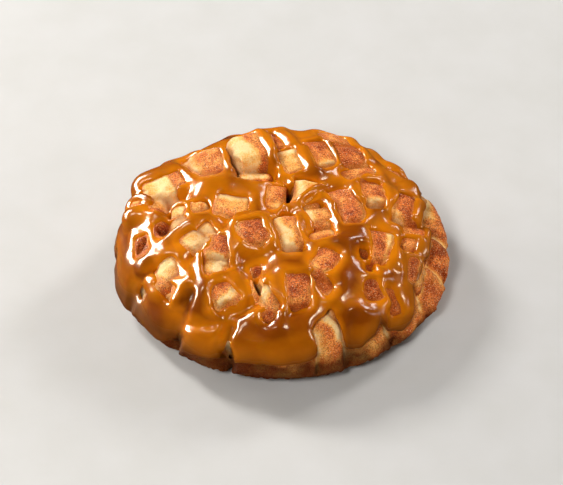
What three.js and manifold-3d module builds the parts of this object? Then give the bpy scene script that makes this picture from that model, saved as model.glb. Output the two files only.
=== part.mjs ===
// Monkey bread: a round, domed pull-apart loaf. Cut pieces of dough were heaped in a round, flared tin,
// swelled against its wall and baked into one body. Its skin is the outside of those pieces, with a
// crease wherever two of them meet. Millimetres, +Z up, the origin at the middle of the flat foot.
import * as THREE from "three";
import { mergeVertices } from "three/addons/utils/BufferGeometryUtils.js";
import Module from "manifold-3d";

const wasm = await Module();
wasm.setup();

// Driving dimensions of the loaf.
const rimRadius = 103.5; // at its widest
const rimLeftBulge = 1; // how much further it swells towards -X
const rimWave = 1.5; // how far its outline strays from a circle
const crownHeight = 62; // top of the dome, before the pieces stand proud
const domePower = 4; // 2 is a cap, more is a flatter top with a steeper shoulder
const domeRoot = 0.4;
const leanLeft = 0.12; // the dough rose higher towards -X
const leanBack = 0.06; // and a little higher towards +Y
const footRadius = 85; // the flat underside, where the tin is narrowest
const flareHeight = 19; // where the tin's sloping wall reaches the full radius

// Where the loaf drew in from the tin as it baked: the middle in degrees anticlockwise from +X, how wide
// in degrees, and how deep.
const rimDents = [
  [148, 24, 5],
  [207, 16, 4.5],
  [48, 15, 3],
];

// How the dough pieces sit.
const crustDepth = 9; // how deep the creases run before the pieces are one crumb
const pieceDepth = 22; // across a piece, inwards
const cornerRadius = 4.5; // of a cut piece after it has swelled
const swell = 1.4; // how far a cut face has puffed up
const outwardShare = 0.85; // 1 faces a piece straight out of the dome, 0 straight up
const unevenTilt = 0.16; // how far a piece may lean away from that
const unevenSize = 0.08; // how far its sizes may differ from the ones given

// The rim lobes are the outermost pieces, pressed against the tin. One row each: where it begins,
// anticlockwise from +X in degrees, how far it stands proud, how far it is turned about the way it faces,
// in degrees, and how high it reaches. Each runs to the next one's beginning.
const rimLobes = [
  [5, 2, 24, 38],
  [26, 2, 12, 44],
  [47, 1, 0, 46],
  [69, -1, -8, 42],
  [92, 0, 6, 42],
  [115, 0, -6, 42],
  [138, -1, 8, 37],
  [160, 0, -8, 41],
  [182, 1, 8, 44],
  [206, 0, -16, 44],
  [231, 1, -10, 44],
  [252, 1, 0, 43],
  [281, 2, 6, 46],
  [293, -1, 8, 42],
  [312, 0, 12, 38],
  [331, 1, 22, 34],
  [348, 1, 26, 34],
];
const lobeDepth = 36;
const lobeCorner = 8;
const lobeSwell = 3;
const lobeLean = 17; // degrees that its outer face leans back from upright
const lobeWaist = 14; // the height where that face meets the outline
const lobeSunk = 26; // how much of the lobe lies below that height, most of it cut off by the tin
const lobeWidening = 1.12;

// The pieces above the rim, one row each: x, y, turn in degrees, width, length and how far it stands proud.
const crownPieces = [
  [-5, 5, -10, 20, 24, 0],
  [15, 9, -5, 21, 23, 1],
  [24, -9, 12, 24, 19, 0],
  [4, -24, 15, 19, 29, 1],
  [25, -26, 15, 21, 19, -1],
  [-17, -28, 15, 24, 26, 4],
  [-31, -5, -10, 24, 22, 1],
  [40, 0, 22, 20, 32, 3],
  [-38, -38, 0, 20, 24, 2],
  [-17, 24, -5, 24, 18, -3],
  [6, 36, 18, 23, 26, 2],
  [24, 48, 22, 18, 30, 2],
  [-18, 46, 22, 26, 28, 6],
  [-44, 35, 15, 28, 28, 2],
  [43, 50, 15, 26, 22, 2],
  [49, 32, 25, 27, 17, 1],
  [56, 16, 8, 22, 24, 2],
  [75, 10, -12, 22, 26, 2],
  [62, -29, 10, 22, 30, 2],
  [26, -49, -25, 22, 26, 2],
  [26, -66, 25, 18, 20, 0],
  [9, -67, 5, 20, 26, 2],
  [54, -60, 15, 22, 24, 0],
  [80, -37, -10, 20, 24, 0],
  [-9, -74, 15, 20, 26, 0],
  [-34, -70, 10, 24, 22, 1],
  [-70, -46, 20, 24, 24, 1],
  [-57, -13, 0, 24, 24, 0],
  [-73, 22, 20, 28, 28, 2],
  [-4, 60, 22, 24, 26, 0.5],
  [16, 64, 0, 22, 22, -3],
  [34, 66, 12, 28, 22, 1],
  [52, 57, 10, 20, 22, -1],
  [68, 43, 10, 22, 24, -1],
  [80, 27, -30, 22, 22, 0],
  [82, -14, 0, 22, 24, 0],
  [68, -56, 15, 20, 26, -1],
  [-83, 1, 80, 24, 24, 2],
  [-80, -24, -80, 24, 24, 0],
  [-63, 40, 10, 26, 24, -1],
  [-40, 14, 0, 24, 24, 0],
  [-48, -22, 30, 20, 24, 0],
  [-22, 9, 0, 22, 20, 0],
  [-57, -31, 20, 22, 22, 1],
  [-14, -50, 0, 18, 18, -5],
  [43, -22, 0, 24, 26, -3],
  [46, -44, 0, 24, 24, -2],
  [40, -66, 0, 22, 24, -2],
  [4, -47, 10, 22, 22, -3],
  [64, -8, 0, 22, 20, -3],
  [-64, 50, 40, 22, 22, -6],
  [-40, 60, 20, 24, 22, -8],
  [-22, 68, 10, 24, 22, -8],
  [31, 29, 10, 24, 24, -2],
  [-42, -56, -10, 22, 22, -1],
  [-56, -62, -10, 22, 22, 0],
];

const degrees = Math.PI / 180;
const up = new THREE.Vector3(0, 0, 1);

// The outline seen from above.
function outlineRadius(angle) {
  let radius = rimRadius - rimLeftBulge * Math.cos(angle) + rimWave * Math.cos(4 * angle + 0.3);
  for (const [middle, width, depth] of rimDents) {
    const turns = (THREE.MathUtils.radToDeg(angle) - middle) / 360;
    const away = (turns - Math.round(turns)) * 360;
    radius -= depth * Math.exp(-((away / width) ** 2));
  }
  return radius;
}

// The height that the tops of the pieces follow.
function domeHeight(x, y) {
  const reach = outlineRadius(Math.atan2(y, x));
  const share = Math.min(Math.hypot(x, y) / reach, 0.985);
  const cap = crownHeight * Math.pow(1 - Math.pow(share, domePower), domeRoot);
  return cap * (1 - (leanLeft * x) / reach + (leanBack * y) / reach);
}

// A number from -1 to 1 that is always the same for the same pair.
function uneven(piece, trait) {
  const wave = Math.sin(piece * 12.9898 + trait * 78.233) * 43758.5453;
  return 2 * (wave - Math.floor(wave)) - 1;
}

// Where a piece's top lies and which way it faces, as a matrix whose Z points out of the loaf.
function placeOnDome(piece, x, y, turn, proud) {
  const step = 1;
  const slopeX = (domeHeight(x + step, y) - domeHeight(x - step, y)) / (2 * step);
  const slopeY = (domeHeight(x, y + step) - domeHeight(x, y - step)) / (2 * step);
  const outward = new THREE.Vector3(-slopeX, -slopeY, 1).normalize();
  outward.lerp(up, 1 - outwardShare).normalize();
  outward.x += unevenTilt * uneven(piece, 1);
  outward.y += unevenTilt * uneven(piece, 2);
  outward.normalize();
  const across = new THREE.Vector3(1, 0, 0).projectOnPlane(outward).normalize();
  const along = new THREE.Vector3().crossVectors(outward, across);
  const top = new THREE.Vector3(x, y, domeHeight(x, y)).addScaledVector(outward, proud);
  const seat = new THREE.Matrix4().makeBasis(across, along, outward).setPosition(top);
  return seat.multiply(new THREE.Matrix4().makeRotationZ(turn * degrees));
}

// A cut piece of dough: a block with round edges and corners and a slight swell, its top face at z = 0.
function doughPiece(width, length, depth, corner, puff) {
  const cells = 3;
  const half = [width / 2, length / 2, depth / 2];
  const geometry = new THREE.BoxGeometry(2, 2, 2, cells, cells, cells);
  const place = geometry.getAttribute("position");
  for (let i = 0; i < place.count; i++) {
    const cell = [place.getX(i), place.getY(i), place.getZ(i)];
    const outer = cell.map((c) => Math.abs(c) > 0.9);
    // Grid lines inside a face move to where its rounded edges begin.
    const inner = cell.map((c, k) => Math.sign(c) * (half[k] - corner));
    const out = new THREE.Vector3(...cell.map((c, k) => (outer[k] ? Math.sign(c) : 0)));
    out.setLength(corner + (outer.filter(Boolean).length === 1 ? puff : 0));
    place.setXYZ(i, ...inner.map((p, k) => p + out.getComponent(k)));
  }
  return geometry.translate(0, 0, -depth / 2);
}

// The crumb behind the pieces: the dome moved inwards by the depth of the creases.
function crumbGeometry() {
  const rings = 6;
  const sectors = 30;
  const points = [0, 0, 0, 0, 0, domeHeight(0, 0) - crustDepth];
  const faces = [];
  const index = (ring, sector) => 2 + (ring - 1) * sectors + (sector % sectors);
  for (let ring = 1; ring <= rings + 1; ring++) {
    for (let sector = 0; sector < sectors; sector++) {
      const angle = (sector / sectors) * 2 * Math.PI;
      const share = Math.min(ring / rings, 1);
      const reach = (outlineRadius(angle) - crustDepth) * share;
      const [x, y] = [reach * Math.cos(angle), reach * Math.sin(angle)];
      const height = ring > rings ? 0 : domeHeight(x, y) - crustDepth;
      points.push(x, y, Math.max(height, 0));
    }
  }
  for (let sector = 0; sector < sectors; sector++) {
    faces.push(1, index(1, sector), index(1, sector + 1));
    for (let ring = 1; ring <= rings; ring++) {
      const [a, b] = [index(ring, sector), index(ring, sector + 1)];
      const [c, d] = [index(ring + 1, sector), index(ring + 1, sector + 1)];
      faces.push(a, c, d, a, d, b);
    }
    faces.push(0, index(rings + 1, sector + 1), index(rings + 1, sector));
  }
  const geometry = new THREE.BufferGeometry();
  geometry.setAttribute("position", new THREE.BufferAttribute(new Float32Array(points), 3));
  return geometry.setIndex(faces);
}

// The inside of the tin: a flat floor, a sloping wall and an open top.
function tinGeometry() {
  const sides = 48;
  const headroom = 40;
  const wall = rimRadius + rimLeftBulge + rimWave;
  const heel = 3; // how high the wall's rounded foot reaches
  const profile = [
    [0, 0],
    [footRadius, 0],
    [footRadius + heel, heel / 2],
    [wall - heel, flareHeight - heel / 2],
    [wall, flareHeight + heel],
    [wall, crownHeight + headroom],
    [0, crownHeight + headroom],
  ];
  const outline = profile.map(([radius, height]) => new THREE.Vector2(radius, height));
  return new THREE.LatheGeometry(outline, sides).rotateX(Math.PI / 2);
}

function toSolid(geometry) {
  const bare = geometry.clone();
  bare.deleteAttribute("normal");
  bare.deleteAttribute("uv");
  const merged = mergeVertices(bare, 1e-4);
  const triVerts = new Uint32Array(merged.index.array);
  const vertProperties = merged.getAttribute("position").array;
  return new wasm.Manifold(new wasm.Mesh({ numProp: 3, vertProperties, triVerts }));
}

function toGeometry(solid) {
  const { vertProperties, triVerts } = solid.getMesh();
  const geometry = new THREE.BufferGeometry();
  geometry.setAttribute("position", new THREE.BufferAttribute(vertProperties, 3));
  geometry.setIndex(new THREE.BufferAttribute(triVerts, 1));
  geometry.computeVertexNormals();
  return geometry;
}

// One lobe of the rim, from one crease to the next, its outer face leaning back from the outline.
function rimLobe(from, to, proud, turn, top) {
  const middle = ((from + to) / 2) * degrees;
  const reach = outlineRadius(middle) + proud - lobeSwell;
  const width = (to - from) * degrees * rimRadius * lobeWidening;
  const height = lobeSunk + (top - lobeWaist) / Math.cos(lobeLean * degrees);
  const lobe = doughPiece(width, height, lobeDepth, lobeCorner, lobeSwell);
  lobe.translate(0, height / 2 - lobeSunk, 0); // so that it leans and turns about its waist
  lobe.rotateZ(turn * degrees);
  const level = new THREE.Vector3(Math.cos(middle), Math.sin(middle), 0);
  const across = new THREE.Vector3().crossVectors(up, level);
  const outward = level.clone().applyAxisAngle(across, -lobeLean * degrees);
  const rise = new THREE.Vector3().crossVectors(outward, across);
  const seat = new THREE.Matrix4().makeBasis(across, rise, outward);
  return lobe.applyMatrix4(seat.setPosition(level.multiplyScalar(reach).setZ(lobeWaist)));
}

function loafSolid() {
  let loaf = toSolid(crumbGeometry());
  rimLobes.forEach(([from, proud, turn, top], i) => {
    const to = i + 1 < rimLobes.length ? rimLobes[i + 1][0] : rimLobes[0][0] + 360;
    loaf = loaf.add(toSolid(rimLobe(from, to, proud, turn, top)));
  });
  crownPieces.forEach(([x, y, turn, width, length, proud], i) => {
    const wide = width * (1 + unevenSize * uneven(i, 3));
    const long = length * (1 + unevenSize * uneven(i, 4));
    const piece = doughPiece(wide, long, pieceDepth, cornerRadius, swell);
    loaf = loaf.add(toSolid(piece.applyMatrix4(placeOnDome(i, x, y, turn, proud))));
  });
  return loaf.intersect(toSolid(tinGeometry()));
}

const crust = new THREE.MeshStandardMaterial({ color: 0xc07a34, roughness: 0.7, metalness: 0 });
const loafMesh = new THREE.Mesh(toGeometry(loafSolid()), crust);
loafMesh.name = "loaf";

const monkeyBread = new THREE.Group();
monkeyBread.add(loafMesh);

export default monkeyBread;
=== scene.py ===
# Monkey bread: a domed pull-apart loaf under caramel sauce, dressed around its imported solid.
# The shapes are worked out in millimetres as distances on a grid and become meshes in metres.
import bpy
import math
import numpy as np
import openvdb as vdb
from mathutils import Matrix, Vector


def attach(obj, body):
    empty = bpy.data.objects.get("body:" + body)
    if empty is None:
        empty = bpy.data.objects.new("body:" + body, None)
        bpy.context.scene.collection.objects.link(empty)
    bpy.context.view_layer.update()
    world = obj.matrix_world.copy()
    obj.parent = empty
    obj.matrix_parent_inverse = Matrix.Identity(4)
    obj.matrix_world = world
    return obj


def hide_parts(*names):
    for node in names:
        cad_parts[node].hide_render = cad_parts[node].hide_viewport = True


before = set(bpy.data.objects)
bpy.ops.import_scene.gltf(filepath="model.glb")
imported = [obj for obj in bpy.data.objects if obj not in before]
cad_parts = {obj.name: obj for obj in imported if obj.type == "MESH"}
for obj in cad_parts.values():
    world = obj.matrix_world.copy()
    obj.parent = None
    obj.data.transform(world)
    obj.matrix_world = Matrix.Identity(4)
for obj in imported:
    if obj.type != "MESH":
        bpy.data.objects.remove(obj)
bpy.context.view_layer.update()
print("loaf solid loaded")

mm = 0.001
far = 99.0  # further than anything on the loaf
mostTriangles = 190000  # of one piece

# The loaf's own shape.
loaf = {
    "rimRadius": 103.5,
    "rimLeftBulge": 1.0,
    "rimWave": 1.5,
    "rimWaves": 4,
    "rimWaveStart": 0.3,
    "crownHeight": 62.0,
    "domePower": 4.0,
    "domeRoot": 0.4,
    "domeLimit": 0.985,  # share of the rim's radius beyond which it falls no further
    "leanLeft": 0.12,
    "leanBack": 0.06,
    "footRadius": 85.0,
    "flareHeight": 19.0,
    "flareBow": 3.0,
    "flareSlant": 0.72,  # turns a level distance into the distance to the slope
    "footRound": 3.0,
    "crustDepth": 10.0,
    "crumbSlant": 0.75,  # turns a height into the distance to the dome
    "crumbRound": 4.0,
    "outwardShare": 0.85,  # how far a piece leans out with the dome
    "unevenTilt": 0.16,
    "unevenSize": 0.08,
}
# Where the loaf drew in from the tin: middle in degrees anticlockwise from +X, width in degrees, depth.
rimDents = [(148, 24, 5), (207, 16, 4.5), (48, 15, 3)]
# Where each rim lobe begins in degrees anticlockwise from +X, how far it stands proud, how it is turned
# and how high it reaches.
rimLobes = [
    (5, 2, 24, 38), (26, 2, 12, 44), (47, 1, 0, 46), (69, -1, -8, 42), (92, 0, 6, 42), (115, 0, -6, 42),
    (138, -1, 8, 37), (160, 0, -8, 41), (182, 1, 8, 44), (206, 0, -16, 44), (231, 1, -10, 44),
    (252, 1, 0, 43), (281, 2, 6, 46), (293, -1, 8, 42), (312, 0, 12, 38), (331, 1, 22, 34),
    (348, 1, 26, 34),
]
# The pieces above the rim: x, y, turn, width, length and how far each stands proud.
crownPieces = [
    (-5, 5, -10, 20, 24, 0), (15, 9, -5, 21, 23, 1), (24, -9, 12, 24, 19, 0), (4, -24, 15, 19, 29, 1),
    (25, -26, 15, 21, 19, -1), (-17, -28, 15, 24, 26, 4), (-31, -5, -10, 24, 22, 1),
    (40, 0, 22, 20, 32, 3), (-38, -38, 0, 20, 24, 2), (-17, 24, -5, 24, 18, -3),
    (6, 36, 18, 23, 26, 2), (24, 48, 22, 18, 30, 2), (-18, 46, 22, 26, 28, 6),
    (-44, 35, 15, 28, 28, 2), (43, 50, 15, 26, 22, 2), (49, 32, 25, 27, 17, 1),
    (56, 16, 8, 22, 24, 2), (75, 10, -12, 22, 26, 2), (62, -29, 10, 22, 30, 2),
    (26, -49, -25, 22, 26, 2), (26, -66, 25, 18, 20, 0), (9, -67, 5, 20, 26, 2),
    (54, -60, 15, 22, 24, 0), (80, -37, -10, 20, 24, 0), (-9, -74, 15, 20, 26, 0),
    (-34, -70, 10, 24, 22, 1), (-70, -46, 20, 24, 24, 1), (-57, -13, 0, 24, 24, 0),
    (-73, 22, 20, 28, 28, 2), (-4, 60, 22, 24, 26, 0.5), (16, 64, 0, 22, 22, -3),
    (34, 66, 12, 28, 22, 1), (52, 57, 10, 20, 22, -1), (68, 43, 10, 22, 24, -1),
    (80, 27, -30, 22, 22, 0), (82, -14, 0, 22, 24, 0), (68, -56, 15, 20, 26, -1),
    (-83, 1, 80, 24, 24, 2), (-80, -24, -80, 24, 24, 0), (-63, 40, 10, 26, 24, -1),
    (-40, 14, 0, 24, 24, 0), (-48, -22, 30, 20, 24, 0), (-22, 9, 0, 22, 20, 0),
    (-57, -31, 20, 22, 22, 1), (-14, -50, 0, 18, 18, -5), (43, -22, 0, 24, 26, -3),
    (46, -44, 0, 24, 24, -2), (40, -66, 0, 22, 24, -2), (4, -47, 10, 22, 22, -3),
    (64, -8, 0, 22, 20, -3), (-64, 50, 40, 22, 22, -6), (-40, 60, 20, 24, 22, -8),
    (-22, 68, 10, 24, 22, -8), (31, 29, 10, 24, 24, -2), (-42, -56, -10, 22, 22, -1),
    (-56, -62, -10, 22, 22, 0),
]

# One seed for each unevenness, so that the loaf comes out the same every time.
seeds = {
    "warp": (11, 12, 13), "browning": 31, "tear": 41, "foot": 43, "lump": 51, "pit": 52, "torn": 53,
    "hole": 54, "edge": (61, 62), "bead": 63, "hem": 71, "uneven": 72, "ripple": 73, "pillow": 74,
}

# A pair says where something begins and over how much it comes in.
dough = {
    "pieceDepth": 22.0,
    "corner": 4.5,
    "puff": 2.2,  # how far a cut face has swelled at its middle
    "crease": 1.2,  # how softly one piece runs into the next
    "lobeDepth": 36.0,
    "lobeCorner": 9.0,
    "lobePuff": 4.0,
    "lobeInset": 0.7,  # share of the puff by which a lobe stands back
    "lobeLean": 17.0,
    "lobeWaist": 14.0,
    "lobeSunk": 26.0,
    "lobeWidening": 1.12,
    "warp": 1.4,  # large unevenness
    "warpSize": 15.0,
    "warpFree": 12,  # height from which it has its full strength
    "lump": 0.4,  # lumps of the crust
    "lumpSize": 4.5,
    "pit": 0.22,
    "pitSize": 2.0,
    "torn": 0.7,  # how ragged the pale, torn faces are
    "tornSize": 3.2,
    "hole": 0.7,  # blisters near the foot
    "holeSize": 3.6,
    "holeShare": (0.5, 0.15),  # the less, the more of them
    "holeHigh": (34, 6),
    "holeLow": (7, 4),
    "holeInside": 2,  # how far in from the sauce's edge they are at their deepest
    # painted shade in the blisters: how far they are darkened
    "holeShade": 0.9,
    "creaseWidth": 6,  # gap between two pieces at which the face counts as open
    "creaseRough": 0.35,  # share of the roughness left in a crease
    "smoothFoot": 5,  # height from which the crust is fully rough
    "browning": 0.55,  # away from the bare crust, from 0 pale to 1 dark
    "browningSway": 0.12,
    "browningSize": 22,
    "tear": 0.35,  # how ragged the edge of a pale face is
    "tearSize": 7,
    "tearFade": 0.4,
    "tornPaler": 0.85,  # how far a torn face loses its browning
    "faceReach": 38,  # no piece has a bare spot further from its middle than this
    "faceDepth": 16,  # how far under its top a bare spot reaches
    "faceFade": 4,
    "spotFade": 2,
    "seamStart": 1.1,  # pale seams between the lobes of the rim
    "seamFall": 1.7,
    "seamPaler": 0.95,
    "seamLow": (14, 8),
    "sideDarker": 0.08,  # more browning below the rim
    "sideHigh": (42, 16),
    "footHigh": 24,  # top of the dark band round the foot: dark-baked crust, partly painted shade
    "footSway": 15,
    "footDarkest": 220,  # where it is highest, in degrees anticlockwise from +X
    "footRagged": 5,
    "footRaggedSize": 7,
    "footFade": 9,
    "footTorn": 0.8,  # how far a torn face is spared
    "cleftRound": 1.5,
    "tinRound": 2.0,
    "cleftShade": 1.5,  # how far round a cleft the painted shade inside it reaches
    # depth under the dome where the painted shade in a cleft begins, and over how much it comes in
    "cleftDeep": (3, 6),
    "syrupWidth": 1.6,  # wet line along the sauce's edge
    "syrupRun": 5,  # how far syrup runs down below the sauce
    "syrupUnder": 0.8,
    "sugarInside": 0.8,  # sugar lies this far in from the sauce's edge
    "sugarBrowning": 0.3,  # where the crust is at least so brown
    "sugarFoot": 0.2,  # no nearer the dark foot than this
    "sugarOpen": 0.3,  # and no deeper in a crease
    "hiddenUnder": 4,  # this far under the sauce it isn't seen
    "fewestPoints": 400,  # smaller bits are left out
}
# Crust that the sauce leaves bare: piece, across, along, half width, half length, turn, browning from
# 0 pale to 1 dark, the way it turns pale in degrees, how much of it is pale, and how far it narrows
# toward its lower end.
bareCrown = [
    (0, 1.8, 1.2, 4.7, 8.6, 0, 0.62, -90, 0.3, 0),
    (1, -0.5, 2, 6.5, 10, -12, 0.42, 180, 0.5, 0.5),
    (2, -2, 3.5, 6.5, 7.5, 14, 0.5, 180, 0.35, 0),
    (3, -0.2, 0.5, 6, 16, 0, 0.62, 200, 0.55, 0.2),
    (4, -0.5, 4, 6.5, 6.8, 0, 0.5, 0, 0.3, 0),
    (5, -1.4, -1.8, 7.2, 8.4, 5, 0.82, 0, 0, 0),
    (6, 0, 0, 9.5, 9, 0, 0.5, 90, 0.4, 0),
    (7, -0.3, 1.2, 6.7, 15.8, -5, 0.74, 0, 0, 0.05),
    (8, 1.3, -3.6, 5.2, 11, 0, 0.8, -90, 0.35, 0),
    (9, 1, 1.2, 9, 5.2, -4, 0.8, 0, 0, -0.2),
    (10, -0.6, 0.4, 5.8, 9.8, 0, 0.36, 90, 0.3, 0.2),
    (11, -1, -1, 5.5, 13, 0, 0.8, -90, 0.15, 0),
    (12, -5, -5, 9.2, 18, 0, 0.7, 200, 0.72, 0),
    (13, -2.1, 0, 10.1, 12, 11, 0.6, 180, 0.3, 0.24),
    (14, -1.7, 0.8, 9, 11, 0, 0.84, 0, 0, 0.1),
    (15, 0, 2.6, 10.5, 4.5, 14, 0.68, 0, 0, 0),
    (16, -0.5, -0.3, 6.3, 11.6, 0, 0.78, -90, 0.25, 0.12),
    (17, -0.3, 0.2, 5.4, 14.4, 0, 0.84, -90, 0.2, 0),
    (18, -2.4, -0.6, 4.8, 13.4, -13, 0.82, -25, 0.36, 0.5),
    (19, -1, 0.5, 5.6, 9, 0, 0.74, -90, 0.15, 0.15),
    (20, -0.8, 5, 3.6, 7.6, 15, 0.74, 0, 0, 0),
    (21, 0.2, -2.6, 5.8, 10, 0, 0.88, -90, 0.1, 0.1),
    (22, 0, -0.9, 4.6, 6, 8, 0.88, 0, 0, -0.1),
    (23, -1.7, -0.2, 3, 7.2, 0, 0.86, 0, 0, 0),
    (24, 0.3, -2, 4, 8.6, 14, 0.62, 120, 0.6, 0),
    (24, -1.6, -12.6, 3.4, 2.6, 25, 0.8, 0, 0, 0),
    (25, 0.9, -0.4, 6.2, 6.4, 10, 0.74, -60, 0.4, -0.1),
    (26, 0.8, -3.2, 7.3, 6.3, 0, 0.36, 90, 0.6, 0),
    (26, -3.8, -13, 3.6, 7, 20, 0.7, 0, 0, 0),
    (27, -6, 3.6, 4, 3.6, 0, 0.3, 0, 0.5, 0),
    (27, 6.6, 7.6, 4.6, 4, 20, 0.45, 0, 0.4, 0),
    (27, -4.5, -5.6, 5, 3.4, 25, 0.15, 0, 0.5, 0),
    (28, -4.5, -9.4, 9.6, 11.8, 0, 0.34, 0, 0.8, 0),
    (28, 8.3, -5, 3.7, 6.2, 0, 0.7, 0, 0, 0),
    (29, -1, -3.8, 2.6, 9, 0, 0.7, 0, 0, 0),
    (31, -2, 1, 9, 7, 0, 0.62, 0, 0, 0),
    (33, 5, 5, 6, 3, -20, 0.65, 0, 0, 0),
    (35, -1.5, 7, 6, 4.5, 0, 0.75, 0, 0, 0),
    (35, -5.5, -7.8, 4.7, 4.7, -8, 0.72, 0, 0, 0),
    (36, -2.3, -4.4, 2.8, 6.8, 12, 0.82, 0, 0, 0),
    (37, 7, 4, 5, 5, 0, 0.28, 0, 0.6, 0),
    (38, 0.8, -4.8, 5, 4, 0, 0.9, 0, 0, 0),
    (38, -4.4, 9.1, 4, 4, 0, 0.82, 0, 0, 0),
    (41, -0.3, -5.2, 4, 5.4, 0, 0.2, 0, 0.5, 0),
    (43, 4, -4.2, 6, 7.2, 20, 0.22, 0, 0.5, 0),
    (44, 0, -4, 2.4, 2.2, 0, 0.95, 0, 0, 0),
    (46, 3.5, 7, 2.2, 3.0, 10, 0.9, 0, 0, 0),
    (46, 8, -2, 1.8, 2.2, 0, 0.9, 0, 0, 0),
    (54, 1, 5.5, 6.2, 6.4, 0, 0.25, 0, 0.6, 0),
]
bareRim = [
    (12, 2.5, 14, 8.5, 17, 0, 0.56, 45, 0.32, 0),
    (15, 0, 8, 17, 18, 0, 0.7, -60, 0.15, 0),
    (16, 0, 8, 17, 18, 0, 0.74, 200, 0.15, 0),
    (0, 0, 8, 19, 19, 0, 0.72, 80, 0.15, 0),
    (1, 0, 4, 17, 15, 0, 0.66, 0, 0.15, 0),
    (3, 3, 14, 9, 7, 10, 0.66, 90, 0.3, 0.2),
    (4, -5, 20, 5, 6, -10, 0.72, 0, 0, 0),
    (5, -4, 13, 10, 6, -8, 0.6, 60, 0.3, 0),
    (6, 6, 17, 6, 7, 15, 0.7, 0, 0, 0.2),
    (9, -20, 9, 3, 3.6, 0, 0.3, 0, 1.0, 0),
]
# Holes that neither dough nor sauce closes: x, y, turn, half width, half length and depth.
clefts = [
    (5, 11, 0, 2.3, 7.5, 14),
    (-14.5, -67, 8, 2.3, 7.5, 10),
    (-26, 32, 20, 2.0, 3.2, 7),
    (50, -37, 10, 1.8, 2.8, 2),
    (53.5, -46, 0, 1.4, 1.6, 1.5),
    (-84, -25, -35, 2.8, 6.0, 6),
    (-72, -20, 20, 3.6, 4.6, 6),
]
# Ridges and furrows that run through dough and sauce alike: radius, height, then x, y, z along each.
folds = [
    (4.4, -7.5, [(-55, -68, 49), (-59, -75, 41), (-64, -78, 29), (-66, -80, 20)]),
    (4.4, -8.0, [(-30, -89, 40), (-34, -94, 34), (-34, -98, 26), (-33, -99, 18)]),
    (2.6, -2.2, [(-55, -81, 37), (-47, -84, 38), (-41, -85, 41)]),
    (5.0, 2.2, [(-52, -85, 32), (-40, -89, 37)]),
    (4.0, -3.0, [(-40, -76, 48), (-32, -79, 49), (-25, -80, 49), (-14, -78, 52)]),
    (2.4, -2.8, [(-91, -41, 32), (-84, -44, 42), (-77, -45, 48)]),
    (4.0, -1.8, [(-89, -38, 40), (-78, -40, 50)]),
    (6.0, 2.4, [(-23, -86, 45), (-28, -95, 36)]),
    (4.0, 2.2, [(-55, -73, 43), (-59, -79, 33)]),
    (8.0, 2.2, [(-96, -16, 42), (-92, -34, 38)]),
    (8.0, 1.6, [(-99, 4, 40)]),
    (8.0, 2.0, [(-81, -57, 34), (-74, -65, 32)]),
    (3.5, 1.8, [(-71, -32, 56), (-63, -25, 61)]),
    (3.5, 1.5, [(-70, -38, 56), (-61, -42, 57)]),
    (7.0, 1.8, [(-88, 12, 52), (-87, 2, 54)]),
    (4.0, -4.0, [(44, -82, 42), (45, -90, 30), (46, -94, 18)]),
    (3.0, -3.5, [(66, -68, 36), (68, -74, 26), (70, -76, 16)]),
    (7.0, 2.0, [(76, -58, 34)]),
    (6.0, 1.8, [(60, -74, 34)]),
    (15.0, 3.0, [(-10, -95, 32), (12, -95, 32)]),
    (11.0, 2.5, [(-49, -86, 28)]),
    (9.0, 4.0, [(-75, -62, 28)]),
    (9.0, 4.0, [(-92, -30, 29)]),
]
# Furrows that run down the rim to the foot: degrees anticlockwise from +X, radius, depth.
rimFurrows = [
    (183, 2.6, 3), (206, 2.8, 3.5), (230.5, 4.4, 7), (250.5, 4.6, 8), (264, 2.4, 2.5), (283, 2.4, 3.5),
    (296, 3.0, 6), (314, 3.0, 5.5), (332, 2.4, 3), (349, 2.4, 3),
]
furrowRun = [(86, 1), (101, 16), (103, 28)]  # distance from the middle and height along each
for azimuth, width, sunk in rimFurrows:
    c, s = math.cos(math.radians(azimuth)), math.sin(math.radians(azimuth))
    folds.append((width, -sunk, [(away * c, away * s, height) for away, height in furrowRun]))

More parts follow.
